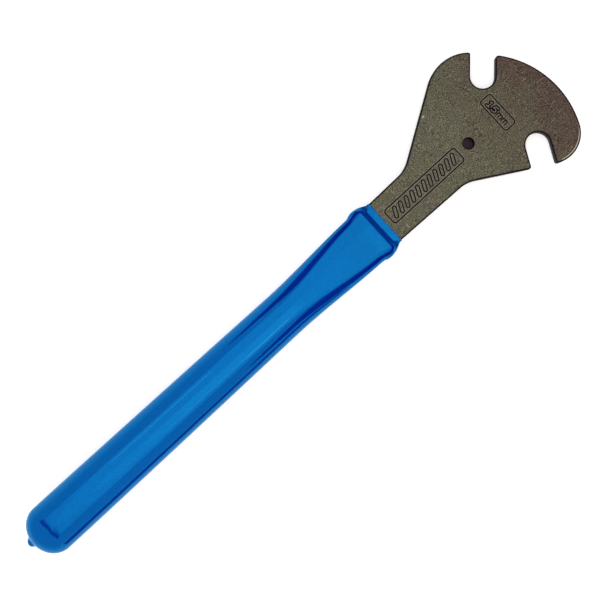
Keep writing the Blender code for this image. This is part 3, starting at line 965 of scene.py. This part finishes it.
vinylLook = {
    "body": (0.0008, 0.0285, 0.340, 1.0),
    "deep": (0.0006, 0.0265, 0.325, 1.0),
    # painted shade: a darker dye towards the mouth
    "mouthShade": (0.0010, 0.0180, 0.280, 1.0),
    "gloss": (0.013, 0.56, 1.0, 1.0),
    "glossIor": 2.3,
    # scale, detail and roughness of each noise
    "patch": (30, 2, 0.5),
    "wave": (55, 2, 0.5),
    "fine": (1500, 2, 0.5),
    "patchRange": (0.35, 0.65),
    "mouthShadeZone": (0.028, 0.062),  # from where to where along X the dye darkens, as painted shade
    # least level, and what the fine noise adds
    "grain": (0.6, 0.8),
    "roughness": (0.018, 0.025),
    "foldShadeShare": 0.85,  # share of the gloss taken away in the folds, as painted shade
    "bump": (0.12, 0.0008),
}


def vinylMaterial():
    # a dyed body under a gloss that stays blue up to the rims, shared out by the gloss's index
    look = vinylLook
    material, sheet = newMaterial("dipped_vinyl")
    place = sheet.place()
    fine = sheet.noise(place, *look["fine"])
    grain = spread(look["grain"], fine)
    roughness = spread(look["roughness"], fine)
    normal = sheet.bump(sheet.noise(place, *look["wave"]), *look["bump"])
    patch = sheet.between(sheet.noise(place, *look["patch"]), *look["patchRange"])
    dye = sheet.mix(patch, look["body"], look["deep"])
    # painted shade: the dye darkens towards the mouth
    dye = sheet.mix(sheet.between(sheet.along(place), *look["mouthShadeZone"]), dye, look["mouthShade"])
    # painted shade: the gloss keeps less of its colour in the folds
    clear = 1 - look["foldShadeShare"] * sheet.attribute("fold")
    body = sheet.principled({
        "Base Color": sheet.shaded(dye, grain),
        "Roughness": roughness,
        "Specular IOR Level": 0.0,
        "Normal": normal,
    })
    gloss = sheet.principled({
        "Base Color": sheet.shaded(look["gloss"], grain * clear),
        "Metallic": 1.0,
        "Roughness": roughness,
        "Normal": normal,
    })
    share = sheet.node("ShaderNodeFresnel", None, {"IOR": look["glossIor"]})
    sheet.finish(sheet.node("ShaderNodeMixShader", None, {0: share, 1: body, 2: gloss}))
    return material


vinyl = vinylMaterial()
vinylGrip = makeGrip(vinyl)
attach(vinylGrip, "root")
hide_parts("grip")
print("vinyl grip made")


# The tube and the plug stay as the frame has them, under the grip
tubeLook = {
    "dark": (0.42, 0.42, 0.41, 1.0),
    "bright": (0.50, 0.50, 0.49, 1.0),
    "lines": (1800, 3, 0.6),  # the noise's scale, detail and roughness
    "stretch": (0.04, 1, 1),
    "lineRange": (0.3, 0.7),
    "roughness": (0.34, 0.12),  # least level, and what the lines add
    "bump": (0.2, 0.00005),
}


def tubeMaterial():
    # bare steel with the fine lines that drawing leaves along a tube
    look = tubeLook
    material, sheet = newMaterial("drawn_tube")
    stretched = sheet.mapped(sheet.place(), {"Scale": look["stretch"]})
    lines = sheet.noise(stretched, *look["lines"])
    share = sheet.between(lines, *look["lineRange"])
    sheet.finish(sheet.principled({
        "Base Color": sheet.mix(share, look["dark"], look["bright"]),
        "Metallic": 1.0,
        "Roughness": spread(look["roughness"], lines),
        "Normal": sheet.bump(lines, *look["bump"]),
    }))
    return material


plugLook = {
    "dark": (0.016, 0.016, 0.017, 1.0),
    "bright": (0.026, 0.026, 0.027, 1.0),
    "grain": (1600, 3, 0.6),  # the noise's scale, detail and roughness
    "roughness": (0.45, 0.15),  # least level, and what the grain adds
    "bump": (0.3, 0.00005),
}


def plugMaterial():
    # black plastic with a moulded grain
    look = plugLook
    material, sheet = newMaterial("moulded_plug")
    grain = sheet.noise(sheet.place(), *look["grain"])
    sheet.finish(sheet.principled({
        "Base Color": sheet.mix(grain, look["dark"], look["bright"]),
        "Roughness": spread(look["roughness"], grain),
        "Normal": sheet.bump(grain, *look["bump"]),
    }))
    return material


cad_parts["handle_tube"].material_slots[0].material = tubeMaterial()
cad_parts["end_plug"].material_slots[0].material = plugMaterial()
print("tube and plug finished")


# Studio
studio = {
    "floorSize": 6.0,
    "floorLevel": -0.00005,
    "floorColour": (0.84, 0.84, 0.84, 1.0),
    "floorGlow": 0.52,
    "paper": (900, 2, 0.5),  # the floor's noise: scale, detail and roughness
    "paperBump": (0.05, 0.00002),
    # deep shade on the floor where the hang hole shows it
    "shade": {"place": (0.1480, 0.0002, 0.0), "range": (0.0060, 0.0110),
              "colour": (0.14, 0.09, 0.13, 1.0)},
    "ambient": 0.60,
    # lowest and highest corner of each lamp in the wrench's X and Y, its height, radiance and
    # colour
    "lamps": {
        "softbox": ((-0.70, -0.93), (0.45, 0.93), 0.900, 0.45, (1, 1, 1)),
        "softbox_middle": ((-0.518, -0.93), (0.45, 0.93), 0.898, 0.10, (1, 1, 1)),
        "softbox_heart": ((-0.503, -0.93), (0.45, 0.93), 0.896, 0.10, (1, 1, 1)),
        "wide_panel": ((-0.44, -0.56), (0.32, 0.03), 0.894, 0.12, (1.6, 1, 1)),
        "inner_panel": ((-0.42, -0.56), (0.050, 0.05), 0.893, 0.10, (1.6, 1, 1)),
        "inner_middle": ((-0.35, -0.54), (0.085, 0.04), 0.892, 0.10, (1.6, 1, 1)),
        "inner_heart": ((-0.28, -0.52), (0.120, 0.03), 0.891, 0.10, (1.6, 1, 1)),
        "upper_strip": ((-0.43, 0.545), (-0.22, 0.645), 0.890, 0.70, (5.0, 1, 0.8)),
        "lower_strip": ((-0.33, -0.58), (0.00, -0.45), 0.888, 0.34, (5.0, 1, 0.8)),
        "lower_gleam": ((-0.17, -0.59), (-0.07, -0.48), 0.886, 1.20, (5.0, 1, 0.8)),
    },
    # path of the black flag round the head's side of the handle, which only reflections see:
    # X, Y, lowest and highest Z; the path is mirrored to the other side
    "wall": ((-0.150, 0.60, 0.165, 0.190), (-0.095, 0.60, 0.070, 0.265),
             (-0.035, 0.60, 0.005, 0.350), (0.060, 0.60, -0.010, 0.440),
             (0.300, 0.60, -0.010, 0.450), (0.560, 0.35, -0.010, 0.420),
             (0.600, 0.00, -0.010, 0.420)),
    # corners of the dark strip just over the floor, and how bright it is
    "floorFlag": ((-0.295, -0.34), (0.04, -0.22), (0.04, -0.075), (-0.2160, -0.086)),
    "floorFlagLevel": 0.001,
    "floorFlagGlow": 0.10,
    # the softbox ends in a shaded hem, a dark frame and a screen, at one height: where their
    # edges show on the grip's back, how far round it, in how many steps, and how bright each is
    "frameShows": (-0.2560, -0.2593, -0.2662),
    "frameAngle": math.radians(27),
    "frameSteps": 28,
    "frameHeight": 0.880,
    "frameGlow": {"end_hem": 0.85, "end_flag": 0.16, "end_screen": 1.0},
    "screenLength": 0.50,
}


def seenRays(sheet):
    # 1 for rays from the camera, off a gloss or through glass, 0 for the others
    camera = sheet.node("ShaderNodeLightPath", output="Is Camera Ray")
    gloss = sheet.node("ShaderNodeLightPath", output="Is Glossy Ray")
    through = sheet.node("ShaderNodeLightPath", output="Is Transmission Ray")
    return sheet.node("ShaderNodeClamp", None, {0: camera + gloss + through})


def makeWorld():
    # white to the rays that see it, and weaker as a light
    world = bpy.data.worlds.new("studio")
    bpy.context.scene.world = world
    sheet = Sheet(world)
    strength = studio["ambient"] + seenRays(sheet) * (1 - studio["ambient"])
    sky = sheet.node("ShaderNodeBackground", None, {"Color": (1, 1, 1, 1), "Strength": strength})
    sheet.node("ShaderNodeOutputWorld", None, {"Surface": sky})


def stagePiece(name, points, faces, material):
    mesh = bpy.data.meshes.new(name)
    mesh.from_pydata(points, [], faces)
    mesh.materials.append(material)
    piece = addObject(name, mesh)
    return piece


def makeFloor():
    # grey paper that glows to the rays that see it, so that it shows white and takes shadows
    material, sheet = newMaterial("paper_floor")
    place = sheet.place()
    shade = studio["shade"]
    reach = sheet.node("ShaderNodeVectorMath", {"operation": "DISTANCE"},
                       {0: place, 1: shade["place"]}, "Value")
    lit = sheet.between(reach, *shade["range"])
    sheet.finish(sheet.principled({
        "Base Color": sheet.mix(lit, shade["colour"], studio["floorColour"]),
        "Roughness": 1.0,
        "Specular IOR Level": 0.0,
        "Emission Color": sheet.mix(seenRays(sheet) * lit, (0, 0, 0, 1), (1, 1, 1, 1)),
        "Emission Strength": studio["floorGlow"],
        "Normal": sheet.bump(sheet.noise(place, *studio["paper"]), *studio["paperBump"]),
    }))
    half, level = studio["floorSize"] / 2, studio["floorLevel"]
    corners = [(-half, -half, level), (half, -half, level), (half, half, level),
               (-half, half, level)]
    stagePiece("floor", corners, [(0, 1, 2, 3)], material)


def makeLamps():
    # a lamp's energy is its radiance times pi times its area
    for name, (low, high, height, radiance, tone) in studio["lamps"].items():
        lamp = bpy.data.lights.new(name, "AREA")
        lamp.shape = "RECTANGLE"
        lamp.size, lamp.size_y = high[0] - low[0], high[1] - low[1]
        lamp.energy = radiance * math.pi * lamp.size * lamp.size_y
        lamp.color = tone
        middle = ((low[0] + high[0]) / 2, (low[1] + high[1]) / 2, height)
        holder = addObject(name, lamp)
        holder.matrix_world = laidMatrix() @ Matrix.Translation(middle)
        holder.visible_camera = False


def mirrored(x, angles, radius, height):
    # where the camera looks by way of the round grip: its ray, turned back at the normal of
    # each angle, meets the level at that height
    points = np.stack((np.full(len(angles), x), radius * np.sin(angles),
                       radius * np.cos(angles)), axis=-1)
    normals = np.stack((np.zeros(len(angles)), np.sin(angles), np.cos(angles)), axis=-1)
    back = np.array((*view["aim"], view["height"])) - points
    away = 2 * np.sum(back * normals, axis=1)[:, None] * normals - back
    return points + away * ((height - points[:, 2]) / away[:, 2])[:, None]


def makeFlag(name, rows, strength=0.0):
    # band between two rows of points that only reflections see, black or softly lit
    material, sheet = newMaterial(name)
    sheet.finish(sheet.principled({
        "Base Color": (0, 0, 0, 1), "Roughness": 1.0, "Specular IOR Level": 0.0,
        "Emission Color": (1, 1, 1, 1), "Emission Strength": strength}))
    points = np.concatenate(rows)
    faces = bandFaces(2, len(points) // 2, closed=False)
    flag = stagePiece(name, points.tolist(), faces.tolist(), material)
    flag.visible_camera = flag.visible_diffuse = flag.visible_shadow = False
    flag.visible_transmission = flag.visible_volume_scatter = False


def makeFlags():
    # round the head, along the floor, and at the softbox's end
    path = np.array(studio["wall"])
    around = np.vstack((path, path[-2::-1] * (1, -1, 1, 1)))
    makeFlag("wall_flag", (laidPoints(around[:, (0, 1, 2)]), laidPoints(around[:, (0, 1, 3)])))
    strip = np.array([(x, y, studio["floorFlagLevel"]) for x, y in studio["floorFlag"]])
    makeFlag("floor_flag", (strip[:2], strip[:1:-1]), studio["floorFlagGlow"])
    angles = np.linspace(-studio["frameAngle"], studio["frameAngle"], studio["frameSteps"])
    radius = grip["tubeRadius"] + head["fit"] + grip["endCoat"]
    edges = [laidPoints(mirrored(x, angles, radius, studio["frameHeight"]))
             for x in studio["frameShows"]]
    edges.append(edges[-1] - (studio["screenLength"], 0, 0))
    for (name, glow), near, far in zip(studio["frameGlow"].items(), edges, edges[1:]):
        makeFlag(name, (near, far), glow)


makeWorld()
makeFloor()
makeLamps()
makeFlags()
bpy.context.scene.view_settings.view_transform = "Standard"
print("studio lit")
